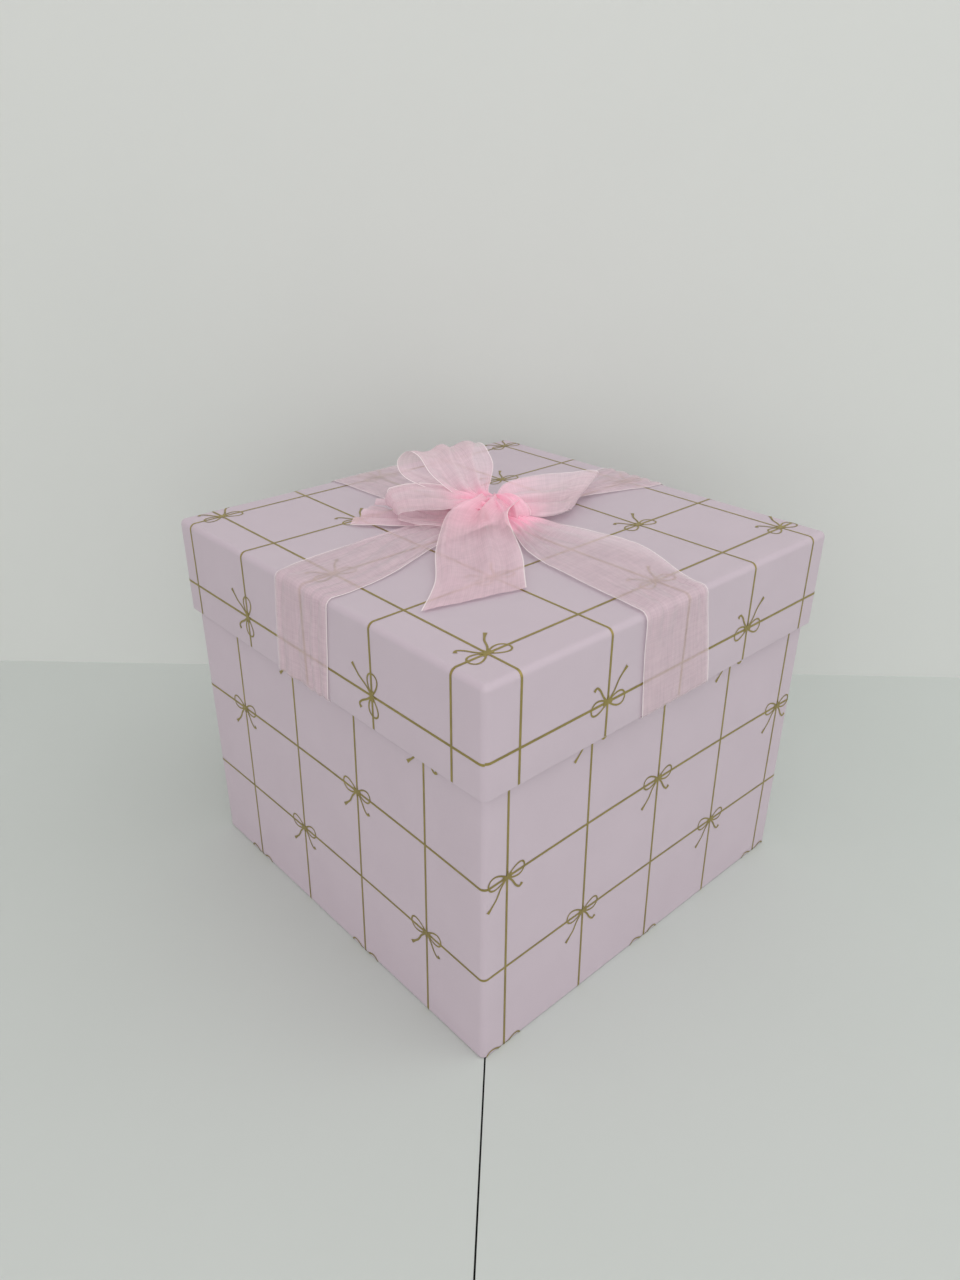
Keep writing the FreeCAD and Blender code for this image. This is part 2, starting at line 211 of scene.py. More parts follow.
# Uncoated sheet paper: white wood-free liner, or brown kraft tape with long fibres.
def plainPaper(name, colour, shade, fibreMm, depthMm, roughness=0.8):
    material, tree = newMaterial(name)
    place = addNode(tree, "ShaderNodeTexCoord").outputs["Object"]
    fibre = addNode(tree, "ShaderNodeTexNoise", {
        "Vector": place, "Scale": perMetre(fibreMm), "Detail": 4.0, "Roughness": 0.65})
    mix = addNode(tree, "ShaderNodeMix", {
        "Factor": fibre.outputs["Fac"], 6: hexColour(colour), 7: hexColour(shade)}, data_type="RGBA")
    bump = addNode(tree, "ShaderNodeBump", {
        "Height": fibre.outputs["Fac"], "Distance": depthMm * mm, "Strength": 1.0})
    shader = addNode(tree, "ShaderNodeBsdfPrincipled", {
        "Base Color": mix.outputs[2], "Roughness": roughness, "Normal": bump.outputs["Normal"]})
    addNode(tree, "ShaderNodeOutputMaterial", {"Surface": shader.outputs[0]})
    return material


# Polyester organza: a sheer plain weave of shiny monofilament, with a dense white selvedge on
# both edges. It is paler where it is one layer and a deeper pink where it is gathered.
# The real threads are 0.25 mm apart; they are drawn 0.9 mm apart so that they show.
def organza():
    look = {"sheer": "#efd5de", "gathered": "#ffc8dc", "selvedge": "#fff4f5",
            "threadMm": 0.9, "streakMm": 1.3, "streakLongMm": 26.0, "halfWidthMm": 20.0,
            "selvedgeMm": 0.6, "cover": 0.5, "gatherCover": 0.95, "selvedgeCover": 0.75,
            "glow": "#ff5a86", "glowMost": 0.07, "cloudMm": (9.0, 12.0), "selvedgeFadeMm": 0.3,
            "weave": 0.012, "warp": 0.18, "weft": 0.12, "cloud": 0.24, "thinner": 0.27,
            "roughness": 0.4, "ribMm": 0.15, "ribStrength": 0.8, "sheen": 0.5, "sheenRoughness": 0.4}
    material, tree = newMaterial("organza")
    cloth = addNode(tree, "ShaderNodeUVMap", uv_map="ribbonMm").outputs["UV"]
    split = addNode(tree, "ShaderNodeSeparateXYZ", {"Vector": cloth})
    gather = addNode(tree, "ShaderNodeAttribute", attribute_name="gather").outputs["Fac"]

    def streaks(alongX, alongY, detail):
        place = addNode(tree, "ShaderNodeMapping", {
            "Vector": cloth, "Scale": (1 / alongX, 1 / alongY, 1)})
        return addNode(tree, "ShaderNodeTexNoise", {
            "Vector": place.outputs[0], "Scale": 1.0, "Detail": detail}).outputs["Fac"]

    def thread(axis):
        turn = addNode(tree, "ShaderNodeMath", {
            0: split.outputs[axis], 1: 2 * math.pi / look["threadMm"]}, operation="MULTIPLY")
        return addNode(tree, "ShaderNodeMath", {0: turn.outputs[0]}, operation="SINE").outputs[0]

    weave = addNode(tree, "ShaderNodeMath", {0: thread("X"), 1: thread("Y")}, operation="ADD")
    warp = streaks(look["streakMm"], look["streakLongMm"], 3.0)
    weft = streaks(look["streakLongMm"], look["streakMm"], 3.0)
    cloudy = streaks(*look["cloudMm"], 2.0)
    fromMiddle = addNode(tree, "ShaderNodeMath", {0: split.outputs["X"]}, operation="ABSOLUTE")
    selvedgeFrom = look["halfWidthMm"] - look["selvedgeMm"]
    edge = addNode(tree, "ShaderNodeMapRange", {
        "Value": fromMiddle.outputs[0], "From Min": selvedgeFrom,
        "From Max": selvedgeFrom + look["selvedgeFadeMm"]}).outputs[0]
    density = 0.0
    patterns = {"weave": weave.outputs[0], "warp": warp, "weft": weft, "cloud": cloudy}
    for weight, value in patterns.items():
        density = addNode(tree, "ShaderNodeMath", {0: value, 1: look[weight], 2: density},
                          operation="MULTIPLY_ADD").outputs[0]
    cover = addNode(tree, "ShaderNodeMapRange", {
        "Value": gather, "To Min": look["cover"], "To Max": look["gatherCover"]}).outputs[0]
    body = addNode(tree, "ShaderNodeMath", {0: density, 1: cover}, operation="ADD")
    body = addNode(tree, "ShaderNodeMath", {0: body.outputs[0], 1: look["thinner"]},
                   operation="SUBTRACT")
    alpha = addNode(tree, "ShaderNodeMix", {
        "Factor": edge, 2: body.outputs[0], 3: look["selvedgeCover"]},
        data_type="FLOAT", clamp_result=True)
    pink = addNode(tree, "ShaderNodeMix", {
        "Factor": gather, 6: hexColour(look["sheer"]), 7: hexColour(look["gathered"])},
        data_type="RGBA")
    colour = addNode(tree, "ShaderNodeMix", {
        "Factor": edge, 6: pink.outputs[2], 7: hexColour(look["selvedge"])}, data_type="RGBA")
    bump = addNode(tree, "ShaderNodeBump", {
        "Height": warp, "Distance": look["ribMm"] * mm, "Strength": look["ribStrength"]})
    # A faint glow stands for light scattered from layer to layer where the cloth is gathered.
    glow = addNode(tree, "ShaderNodeMath", {0: gather, 1: look["glowMost"]}, operation="MULTIPLY")
    shader = addNode(tree, "ShaderNodeBsdfPrincipled", {
        "Base Color": colour.outputs[2], "Roughness": look["roughness"], "Alpha": alpha.outputs[0],
        "Normal": bump.outputs["Normal"], "Sheen Weight": look["sheen"],
        "Sheen Roughness": look["sheenRoughness"],
        "Emission Color": hexColour(look["glow"]), "Emission Strength": glow.outputs[0]})
    addNode(tree, "ShaderNodeOutputMaterial", {"Surface": shader.outputs[0]})
    return material


paperMaterial = laminatedPaper()
foilMaterial = goldFoil()
boardMaterial = greyboard()
linerMaterial = plainPaper("whiteLiner", "#efece6", "#e2ded6", fibreMm=0.9, depthMm=0.03)
tapeMaterial = plainPaper("kraftTape", "#b8966a", "#a5845a", fibreMm=1.4, depthMm=0.04)
organzaMaterial = organza()
print("materials ready")


# ---- the box's outline: rings of points round the walls

# One point of a rounded square. Side 0 faces -Y, then they go round anticlockwise. The place
# runs from -1 to 1 along the straight part, and the turn from 0 to 1 round the corner after it.
def outlinePoint(half, corner, side, place, turn, z, bow):
    if turn > 0:
        angle = turn * math.pi / 2
        x = half - corner + corner * math.sin(angle)
        y = -half + corner - corner * math.cos(angle)
    else:
        x = place * (half - corner)
        y = -half + bow * (1 - place * place)
    return Matrix.Rotation(side * math.pi / 2, 3, "Z") @ Vector((x, y, z))


def ring(half, corner, z, bow):
    points, along, around = [], boxShape["sideSteps"], boxShape["cornerSteps"]
    for side in range(4):
        for k in range(along + 1):
            points.append(outlinePoint(half, corner, side, 2 * k / along - 1, 0, z, bow))
        for k in range(1, around):
            points.append(outlinePoint(half, corner, side, 1, k / around, z, bow))
    return points


def cornerAt(corner, inset):
    return max(corner - inset, boxShape["sharpest"] * mm)


# Sweeps a profile of (inset, height) round the walls. A closed profile makes a hoop, an open
# one ends at the middle of the top and is filled there.
def sweepProfile(name, half, corner, profile, bowAt, closed):
    vertices = []
    for inset, z in profile:
        vertices += ring(half - inset, cornerAt(corner, inset), z, bowAt(z))
    count = len(vertices) // len(profile)
    faces = []
    for row in range(len(profile) - (not closed)):
        below, above = row * count, (row + 1) % len(profile) * count
        for k in range(count):
            nxt = (k + 1) % count
            faces.append((below + k, below + nxt, above + nxt, above + k))
    if not closed:
        for first, z in ((0, profile[0][1]), (len(profile) - 1, profile[-1][1])):
            vertices.append(Vector((0, 0, z)))
            faces += [(first * count + k, first * count + (k + 1) % count, len(vertices) - 1)
                      for k in range(count)]
    piece = newPiece(name, vertices, faces, paperMaterial)
    turnFacesOut(piece)
    return piece


def quarterTurn(centre, radius, start, steps=5):
    cx, cz = centre
    return [(cx - radius * math.cos(start + k / steps * math.pi / 2),
             cz + radius * math.sin(start + k / steps * math.pi / 2)) for k in range(steps + 1)]


def spread(start, end, steps):
    return [tuple(a + (b - a) * k / steps for a, b in zip(start, end)) for k in range(steps + 1)]


def baseBow(z):
    return boxShape["wallBow"] * mm * min(max(z / baseTop, 0), 1)


def makeBaseWrap():
    paper, wall = boxShape["paper"] * mm, boxShape["baseWall"] * mm
    soft = boxShape["lipRound"] * mm
    under, inner = boxShape["underlap"] * mm, baseTop - boxShape["baseTurnIn"] * mm
    profile = [(under, baseFoot)] + spread((soft, baseFoot), (0, baseFoot + soft), 2)
    profile += spread((0, baseFoot + 2 * soft), (0, baseTop - soft), 12)
    profile += quarterTurn((soft, baseTop - soft), soft, 0)[1:]
    profile += quarterTurn((wall - soft, baseTop - soft), soft, math.pi / 2)
    profile += [(wall, inner), (wall - paper, inner), (wall - paper, baseTop - paper - soft),
                (wall / 2, baseTop - paper), (paper, baseTop - paper - soft)]
    profile += spread((paper, baseTop - 2 * soft), (paper, baseFoot + 2 * paper), 6)
    profile += [(2 * paper, baseFoot + paper), (under, baseFoot + paper)]
    return sweepProfile("baseWrapPaper", baseHalf, boxShape["baseCorner"] * mm, profile, baseBow, True)


def makeLidWrap():
    paper, wall = boxShape["paper"] * mm, boxShape["lidWall"] * mm
    edge, soft = boxShape["lidEdge"] * mm, boxShape["lipRound"] * mm
    end = rimBottom + boxShape["lidTurnIn"] * mm
    outside = spread((lidHalf * boxShape["topRing"], lidTop), (edge * boxShape["edgePast"], lidTop), 10)
    outside += quarterTurn((edge, lidTop - edge), edge, 0, 8)[::-1]
    outside += spread((0, lidTop - edge * boxShape["edgePast"]), (0, rimBottom + soft), 5)
    outside += quarterTurn((soft, rimBottom + soft), soft, -math.pi / 2)[::-1][1:]
    outside += quarterTurn((wall - soft, rimBottom + soft), soft, -math.pi)[::-1]
    inside = [(wall, end), (wall - paper, end), (wall - paper, rimBottom + paper + soft),
              (wall / 2, rimBottom + paper), (paper, rimBottom + paper + soft), (paper, lidTop - edge)]
    inside += quarterTurn((edge, lidTop - edge), edge - paper, 0, 6)[1:]
    inside += [(lidHalf * boxShape["topRing"], lidTop - paper)]
    return sweepProfile("lidWrapPaper", lidHalf, boxShape["lidCorner"] * mm, outside + inside,
                        lambda z: 0, False)


# ---- the printed pattern, made flat and then folded round the box

printing = {
    "pitch": 45.0, "lineWidth": 1.1, "foilLift": 0.05, "foilThick": 0.03,
    "lidFirst": (16.15, 16.6),         # first crossing from the lid's front left corner
    "baseFirst": (11.2, -1.5),         # first crossing from the base's front left corner
    "lidColumns": 5, "aroundHalf": 9, "baseRows": 5,       # pitches across the lid, round half the base
    "underPrint": 2.6,                 # how far the base's print runs in under it
    "lineStep": 0.9,                   # length of each piece of a printed line
    "loopLong": 9.6, "loopHalf": 4.0, "loopRise": 0.9, "loopSteps": 32, "smallLoop": 0.94,
    "loopTaper": 0.55,                 # how sharply a loop narrows towards its knot
    "loopStroke": 0.75, "tailStroke": 0.85, "tailSwell": 0.9, "swellFrom": 0.75, "tailSteps": 6,
    "longTail": [(0, 0), (-3.2, -3.4), (-5.4, -7.2), (-7.2, -9.2), (-9.8, -11.6)],
    "shortTail": [(0, 0), (2.6, -3.0), (4.6, -6.4), (6.6, -8.2), (8.0, -7.2)],
    "dabReach": 2.6, "dabTurns": (0.35, -0.35, 1.45), "dabEnd": 0.5, "dabSwell": 1.0,
    "turnedLift": 0.02, "strokeLift": 0.04, "strokeApart": 0.012,    # so that no two strips coincide
}


def foldOnLid(u, v, lift):
    edge, corner, wall = (boxShape[key] * mm for key in ("lidEdge", "lidCorner", "lidWall"))
    flat = lidHalf - edge
    if abs(u) <= flat and abs(v) <= flat:
        return Vector((u, v, lidTop + lift))
    along, across = (u, v) if abs(v) >= abs(u) else (v, u)
    over = abs(across) - flat
    inset = 0.0
    if over < edge * math.pi / 2:
        angle = over / edge
        out = flat + (edge + lift) * math.sin(angle)
        z = lidTop - edge + (edge + lift) * math.cos(angle)
    else:
        out = lidHalf + lift
        z = lidTop - edge - (over - edge * math.pi / 2)
        if z < rimBottom:
            past = rimBottom - z
            out = lidHalf - min(past, wall) if past < wall else lidHalf - wall - lift
            z = rimBottom - lift if past < wall else rimBottom + past - wall
    if abs(along) > lidHalf - corner:
        angle = min((abs(along) - lidHalf + corner) / corner, math.pi / 2)
        inset = corner * (1 - math.cos(angle))
        along = math.copysign(lidHalf - corner + (corner + lift) * math.sin(angle), along)
    out = math.copysign(out - inset, across)
    return Vector((along, out, z)) if abs(v) >= abs(u) else Vector((out, along, z))


def sideLength():
    corner = boxShape["baseCorner"] * mm
    return 2 * (baseHalf - corner) + corner * math.pi / 2


def foldOnBase(s, t, lift):
    corner, wall = boxShape["baseCorner"] * mm, boxShape["baseWall"] * mm
    if t < baseFoot:
        inset, z = baseFoot - t, baseFoot - lift
    elif t <= baseTop:
        inset, z = -lift, t
    elif t <= baseTop + wall:
        inset, z = t - baseTop, baseTop + lift
    else:
        inset, z = wall + lift, baseTop - (t - baseTop - wall)
    side = math.floor(s / sideLength())
    u = s - (side + 0.5) * sideLength()
    flat = baseHalf - corner
    half, radius = baseHalf - inset, cornerAt(corner, inset)
    if abs(u) <= flat:
        return outlinePoint(half, radius, side, u / flat, 0, z, baseBow(z))
    turn = (abs(u) - flat) / corner / (math.pi / 2)
    if u > 0:
        return outlinePoint(half, radius, side, 1, turn, z, 0)
    return outlinePoint(half, radius, side - 1, 1, 1 - turn, z, 0)


# A pen stroke: a strip of quads along a line of points, with its own width at each point.
def stroke(points, widths):
    vertices, faces = [], []
    for k, point in enumerate(points):
        ahead = points[min(k + 1, len(points) - 1)] - points[max(k - 1, 0)]
        across = Vector((-ahead.y, ahead.x)).normalized() * widths[k] / 2
        vertices += [point - across, point + across]
        if k:
            faces.append((2 * k - 2, 2 * k, 2 * k + 1, 2 * k - 1))
    return vertices, faces


def curveThrough(corners, steps):
    points = []
    for k in range(len(corners) - 1):
        a, b, c, d = (Vector(corners[min(max(k + n, 0), len(corners) - 1)]) for n in (-1, 0, 1, 2))
        for step in range(steps):
            t = step / steps
            points.append(0.5 * (2 * b + (c - a) * t + (2 * a - 5 * b + 4 * c - d) * t ** 2
                                 + (3 * b - a - 3 * c + d) * t ** 3))
    return points + [Vector(corners[-1])]


# The little drawn bow at a crossing: two loops along the line, two tails, and a dab for the knot.
# It stands upright, with its long tail on the left.
def makeMotif():
    strokes, steps = [], printing["loopSteps"]
    for sign, size in ((-1, 1.0), (1, printing["smallLoop"])):
        loop = []
        for k in range(steps + 1):
            angle = 2 * math.pi * k / steps
            reach = (1 - math.cos(angle)) / 2
            loop.append(Vector((sign * size * printing["loopLong"] * reach,
                                size * printing["loopHalf"] * math.sin(angle) * reach ** printing["loopTaper"]
                                + printing["loopRise"] * reach)))
        strokes.append((loop, [printing["loopStroke"]] * len(loop)))
    for corners in (printing["longTail"], printing["shortTail"]):
        tail = curveThrough(corners, printing["tailSteps"])
        last = len(tail) - 1
        swells = [printing["tailSwell"] * smoothStep(printing["swellFrom"], 1, k / last)
                  for k in range(last + 1)]
        strokes.append((tail, [printing["tailStroke"] * (1 + swell) for swell in swells]))
    shares = [k / 4 for k in range(-4, 5)]
    widths = [printing["dabEnd"] + printing["dabSwell"] * (1 - abs(share)) for share in shares]
    for tilt in printing["dabTurns"]:
        reach = Vector((math.cos(tilt), math.sin(tilt))) * printing["dabReach"]
        strokes.append(([reach * share for share in shares], widths))
    vertices, faces = [], []
    for k, (points, widths) in enumerate(strokes):
        strip, quads = stroke(points, widths)
        faces += [tuple(n + len(vertices) for n in quad) for quad in quads]
        lift = printing["strokeLift"] + printing["strokeApart"] * k
        vertices += [Vector((p.x, p.y, lift)) * mm for p in strip]
    return vertices, faces


def addInput(tree, name, kind, default=None):
    socket = tree.interface.new_socket(name, in_out="INPUT", socket_type=kind)
    if default is not None:
        socket.default_value = default
    return socket


def runNodes(name, tree, values, vertices=(), faces=()):
    piece = newPiece(name, vertices, faces, foilMaterial, smooth=False)
    modifier = piece.modifiers.new(name, "NODES")
    modifier.node_group = tree
    for item in tree.interface.items_tree:
        if item.item_type == "SOCKET" and item.in_out == "INPUT" and item.name in values:
            modifier[item.identifier] = values[item.name]
    return applyModifiers(piece)


# Parallel printed lines: one thin grid repeated along X.
def lineTree():
    tree = bpy.data.node_groups.new("printedLines", "GeometryNodeTree")
    addInput(tree, "Geometry", "NodeSocketGeometry")
    for name, kind, default in (
            ("Count", "NodeSocketInt", 5), ("First", "NodeSocketFloat", 0.0),
            ("Pitch", "NodeSocketFloat", 0.045), ("Width", "NodeSocketFloat", 0.001),
            ("Length", "NodeSocketFloat", 0.2), ("Steps", "NodeSocketInt", 100)):
        addInput(tree, name, kind, default)
    addInput(tree, "Foil", "NodeSocketMaterial")
    tree.interface.new_socket("Geometry", in_out="OUTPUT", socket_type="NodeSocketGeometry")
    given = addNode(tree, "NodeGroupInput").outputs
    first = addNode(tree, "ShaderNodeCombineXYZ", {"X": given["First"]})
    step = addNode(tree, "ShaderNodeCombineXYZ", {"X": given["Pitch"]})
    row = addNode(tree, "GeometryNodeMeshLine", {
        "Count": given["Count"], "Start Location": first.outputs[0], "Offset": step.outputs[0]})
    line = addNode(tree, "GeometryNodeMeshGrid", {
        "Size X": given["Width"], "Size Y": given["Length"],
        "Vertices X": 2, "Vertices Y": given["Steps"]})
    copies = addNode(tree, "GeometryNodeInstanceOnPoints", {
        "Points": row.outputs[0], "Instance": line.outputs["Mesh"]})
    real = addNode(tree, "GeometryNodeRealizeInstances", {"Geometry": copies.outputs[0]})
    foil = addNode(tree, "GeometryNodeSetMaterial", {
        "Geometry": real.outputs[0], "Material": given["Foil"]})
    addNode(tree, "NodeGroupOutput", {0: foil.outputs[0]})
    return tree


# The drawn bow on every second crossing of the grid, like a chequerboard.
def bowTree():
    tree = bpy.data.node_groups.new("printedBows", "GeometryNodeTree")
    addInput(tree, "Geometry", "NodeSocketGeometry")
    for name, kind, default in (
            ("Columns", "NodeSocketInt", 5), ("Rows", "NodeSocketInt", 5),
            ("Pitch", "NodeSocketFloat", 0.045), ("Odd", "NodeSocketInt", 0),
            ("Turn", "NodeSocketFloat", 0.0), ("Origin", "NodeSocketVector", None)):
        addInput(tree, name, kind, default)
    addInput(tree, "Foil", "NodeSocketMaterial")
    tree.interface.new_socket("Geometry", in_out="OUTPUT", socket_type="NodeSocketGeometry")
    given = addNode(tree, "NodeGroupInput").outputs
    count = addNode(tree, "ShaderNodeMath", {0: given["Columns"], 1: given["Rows"]},
                    operation="MULTIPLY")
    cells = addNode(tree, "GeometryNodePoints", {"Count": count.outputs[0]})
    index = addNode(tree, "GeometryNodeInputIndex").outputs[0]
    column = addNode(tree, "ShaderNodeMath", {0: index, 1: given["Columns"]}, operation="MODULO")
    share = addNode(tree, "ShaderNodeMath", {0: index, 1: given["Columns"]}, operation="DIVIDE")
    row = addNode(tree, "ShaderNodeMath", {0: share.outputs[0]}, operation="FLOOR")
    cell = addNode(tree, "ShaderNodeCombineXYZ", {"X": column.outputs[0], "Y": row.outputs[0]})
    scaled = addNode(tree, "ShaderNodeVectorMath", {0: cell.outputs[0], "Scale": given["Pitch"]},
                     operation="SCALE")
    place = addNode(tree, "ShaderNodeVectorMath", {0: scaled.outputs[0], 1: given["Origin"]},
                    operation="ADD")
    placed = addNode(tree, "GeometryNodeSetPosition", {
        "Geometry": cells.outputs[0], "Position": place.outputs[0]})
    total = addNode(tree, "ShaderNodeMath", {0: column.outputs[0], 1: row.outputs[0]}, operation="ADD")
    shifted = addNode(tree, "ShaderNodeMath", {0: total.outputs[0], 1: given["Odd"]}, operation="ADD")
    rest = addNode(tree, "ShaderNodeMath", {0: shifted.outputs[0], 1: 2.0}, operation="MODULO")
    used = addNode(tree, "FunctionNodeCompare", {0: rest.outputs[0], 1: 0.5}, operation="LESS_THAN")
    turn = addNode(tree, "ShaderNodeCombineXYZ", {"Z": given["Turn"]})
    copies = addNode(tree, "GeometryNodeInstanceOnPoints", {
        "Points": placed.outputs[0], "Selection": used.outputs[0], "Instance": given["Geometry"],
        "Rotation": turn.outputs[0]})
    real = addNode(tree, "GeometryNodeRealizeInstances", {"Geometry": copies.outputs[0]})
    foil = addNode(tree, "GeometryNodeSetMaterial", {
        "Geometry": real.outputs[0], "Material": given["Foil"]})
    addNode(tree, "NodeGroupOutput", {0: foil.outputs[0]})
    return tree


# Folds flat print onto the box, drops what runs off the paper, and gives the foil its thickness.
def foldPrint(name, flats, fold, keep):
    work = bmesh.new()
    for flat, turned in flats:
        start = len(work.verts)
        work.from_mesh(flat.data)
        work.verts.ensure_lookup_table()
        for vertex in work.verts[start:]:
            if turned:
                vertex.co = (-vertex.co.y, vertex.co.x, printing["turnedLift"] * mm)
        bpy.data.objects.remove(flat)
    lost = [face for face in work.faces if not all(keep(v.co.x, v.co.y) for v in face.verts)]
    bmesh.ops.delete(work, geom=lost, context="FACES")
    for vertex in work.verts:
        vertex.co = fold(vertex.co.x, vertex.co.y, printing["foilLift"] * mm + vertex.co.z)
    piece = newPiece(name, [], [], foilMaterial, smooth=False)
    work.to_mesh(piece.data)
    work.free()
    thick = piece.modifiers.new("foil", "SOLIDIFY")
    thick.thickness = printing["foilThick"] * mm
    thick.offset = 1
    return applyModifiers(piece)


def makePrint():
    lines, bows = lineTree(), bowTree()
    motif, quads = makeMotif()
    pitch, width = printing["pitch"] * mm, printing["lineWidth"] * mm
    common = {"Pitch": pitch, "Width": width, "Foil": foilMaterial}

    def lineSet(name, first, count, length, apart=1):
        return runNodes(name, lines, dict(common, First=first, Count=count, Length=length,
                                          Pitch=apart * pitch,
                                          Steps=int(length / (printing["lineStep"] * mm))))

    # the lid's sheet: its origin is the middle of the top, and it folds down on four sides
    edge = boxShape["lidEdge"] * mm
    reach = lidHalf + (lidTop - rimBottom) + (boxShape["lidWall"] + boxShape["lidTurnIn"]) * mm
    slack = edge * (2 - math.pi / 2)
    firstX, firstY = (value * mm - lidHalf for value in printing["lidFirst"])
    ends = lidHalf - boxShape["lidCorner"] * mm * (1 - math.pi / 4)
    count = printing["lidColumns"]
    flats = [(lineSet("lidAcross", firstX, count, 2 * reach), False),
             (lineSet("lidAlong", firstY, count, 2 * reach), True),
             (lineSet("rimAcross", firstX - pitch, 2, 2 * ends, count + 1), False),
             (lineSet("rimAlong", firstY - pitch, 2, 2 * ends, count + 1), True)]
    flats.append((runNodes("lidBows", bows, {
        "Columns": count + 2, "Rows": count + 2, "Pitch": pitch, "Odd": 0, "Turn": math.pi,
        "Foil": foilMaterial, "Origin": (firstX - pitch, firstY - pitch, 0)}, motif, quads), False))
    hair = 0.01 * mm       # keeps a line that ends right at the edge

    def onLid(u, v):
        return min(abs(u), abs(v)) < ends + hair and max(abs(u), abs(v)) < reach - slack

    lidFoil = foldPrint("lidFoilPrint", flats, foldOnLid, onLid)

    # the base's sheet: a strip round the walls, from the front left corner, joined at the back
    around = 2 * sideLength()
    firstS, firstT = (value * mm for value in printing["baseFirst"])
    top = baseTop + (boxShape["baseWall"] + boxShape["baseTurnIn"]) * mm
    bottom = baseFoot - printing["underPrint"] * mm
    count, rows = 2 * printing["aroundHalf"], printing["baseRows"]
    startS = firstS - printing["aroundHalf"] * pitch
    flats = [(lineSet("baseUpright", startS, count, 2 * top), False),
             (lineSet("baseLevel", firstT, rows, 2 * around), True)]
    flats.append((runNodes("baseBows", bows, {
        "Columns": count, "Rows": rows, "Pitch": pitch, "Odd": 1, "Turn": 0.0,
        "Foil": foilMaterial, "Origin": (startS, firstT, 0)}, motif, quads), False))

    def onBase(s, t):
        return abs(s) < around and bottom < t < top

    baseFoil = foldPrint("baseFoilPrint", flats, foldOnBase, onBase)
    return lidFoil, baseFoil


lidWrap, baseWrap = makeLidWrap(), makeBaseWrap()
for piece, body, node in ((lidWrap, "lid", "lid_wrap"), (baseWrap, "base", "base_wrap")):
    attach(piece, body)
    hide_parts(node)
print("papers wrapped")

lidFoil, baseFoil = makePrint()
for piece, body in ((lidFoil, "lid"), (baseFoil, "base")):
    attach(piece, body)
print("foil printed")

for name, node in nodes.items():
    material = boardMaterial
    if "stays" in name:
        material = tapeMaterial
    elif "liner" in name or "foot" in name:
        material = linerMaterial
    for slot in node.material_slots:
        slot.material = material


# ---- the ribbon

ribbon = {
    "width": 40.0, "rowStep": 1.3, "fewestRows": 12, "columns": 44, "lift": 0.3, "tuck": 11.0,
    "pleats": 7, "pleatMost": 0.9, "softFolds": 2.2, "softMost": 1.8,     # folds where it is gathered
    "narrowest": 6.0, "spareMost": 2.6, "softSpare": 1.7,     # how far the spare width still counts
    "pleatFrom": (1.4, 2.3), "tightFrom": (1.2, 2.5),         # spare width that makes pleats, and pink
    # the knot's values raise the gather near it: a deeper pink with painted glow
    "tightFade": (18, 40), "tightLoss": 0.75, "knotFade": (8, 36), "knotPinkAndGlow": 0.6,
    "drift": 0.14, "driftWidth": 2.5, "driftMm": 45,          # how the folds wander
    "edgeShare": 0.06, "edgeDepth": 0.35,                     # folds are shallower at the selvedges
    "crinkle": 0.28, "crinkleSize": 9.0, "fineCrinkle": (3, 7),
    "overUnder": 0.5,                                         # the upper band's height over the lower
    "pathSteps": 24, "foldShare": 0.8,                        # how much of the spare width folds take
    "softDrift": 1.5, "softPhase": 0.61, "finePhase": 0.37,   # keep the two kinds of fold out of step
    "crinkleLong": 0.6, "crinkleBroad": 2.0,                  # broad crinkles against fine ones
    "lyingHeight": 0.8, "lyingPleat": 0.2,                    # folds of a band that lies on the box
}


def smoothPath(corners, count):
    fine = curveThrough(corners, ribbon["pathSteps"])
    lengths = [0.0]
    for a, b in zip(fine, fine[1:]):
        lengths.append(lengths[-1] + (b - a).length)
    points, k = [], 0
    for n in range(count + 1):
        wanted = lengths[-1] * n / count
        while k < len(lengths) - 2 and lengths[k + 1] < wanted:
            k += 1
        share = (wanted - lengths[k]) / max(lengths[k + 1] - lengths[k], 1e-9)
        points.append(fine[k].lerp(fine[k + 1], min(max(share, 0), 1)))
    return points


# How deep folds must be to take up the ribbon's spare width.
def foldDepth(wide, folds, spare, most):
    return min(ribbon["foldShare"] * wide / folds / 4 * math.sqrt(spare ** 2 - 1), most)
